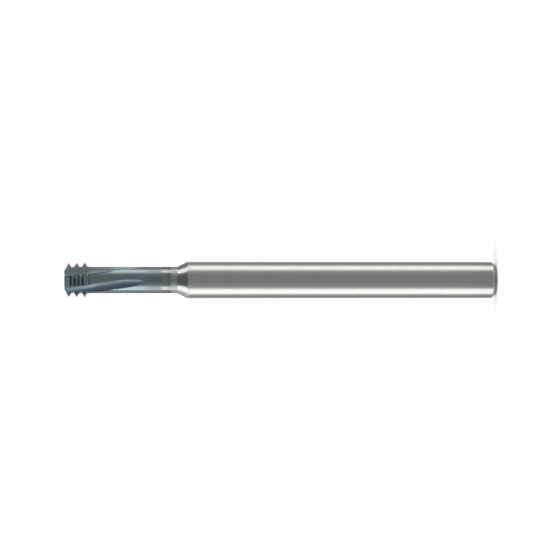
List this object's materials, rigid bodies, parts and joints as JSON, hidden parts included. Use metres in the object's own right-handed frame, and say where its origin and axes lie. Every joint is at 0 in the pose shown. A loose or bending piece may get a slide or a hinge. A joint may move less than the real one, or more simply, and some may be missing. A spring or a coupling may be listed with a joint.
{
  "type": "thread mill",
  "caption": "Solid carbide thread mill: plain round shank, cone, slim neck and a short head whose relieved ring teeth are crossed by left-hand helical flutes.",
  "frame": {"origin": "centre of the shank's flat end face, which the tool stands on", "axes": "+Z along the tool axis, from the shank end to the cutting head; +X through one cutting edge at the front face"},
  "size_m": [0.008, 0.008, 0.096],
  "materials": {
    "ground_carbide": "fine ground carbide, bare and satin on the shank, with a dark blue-grey coating on the head that fades along the neck"
  },
  "bodies": {
    "root": {"thread_mill": "ground_carbide"}
  },
  "joints": []
}
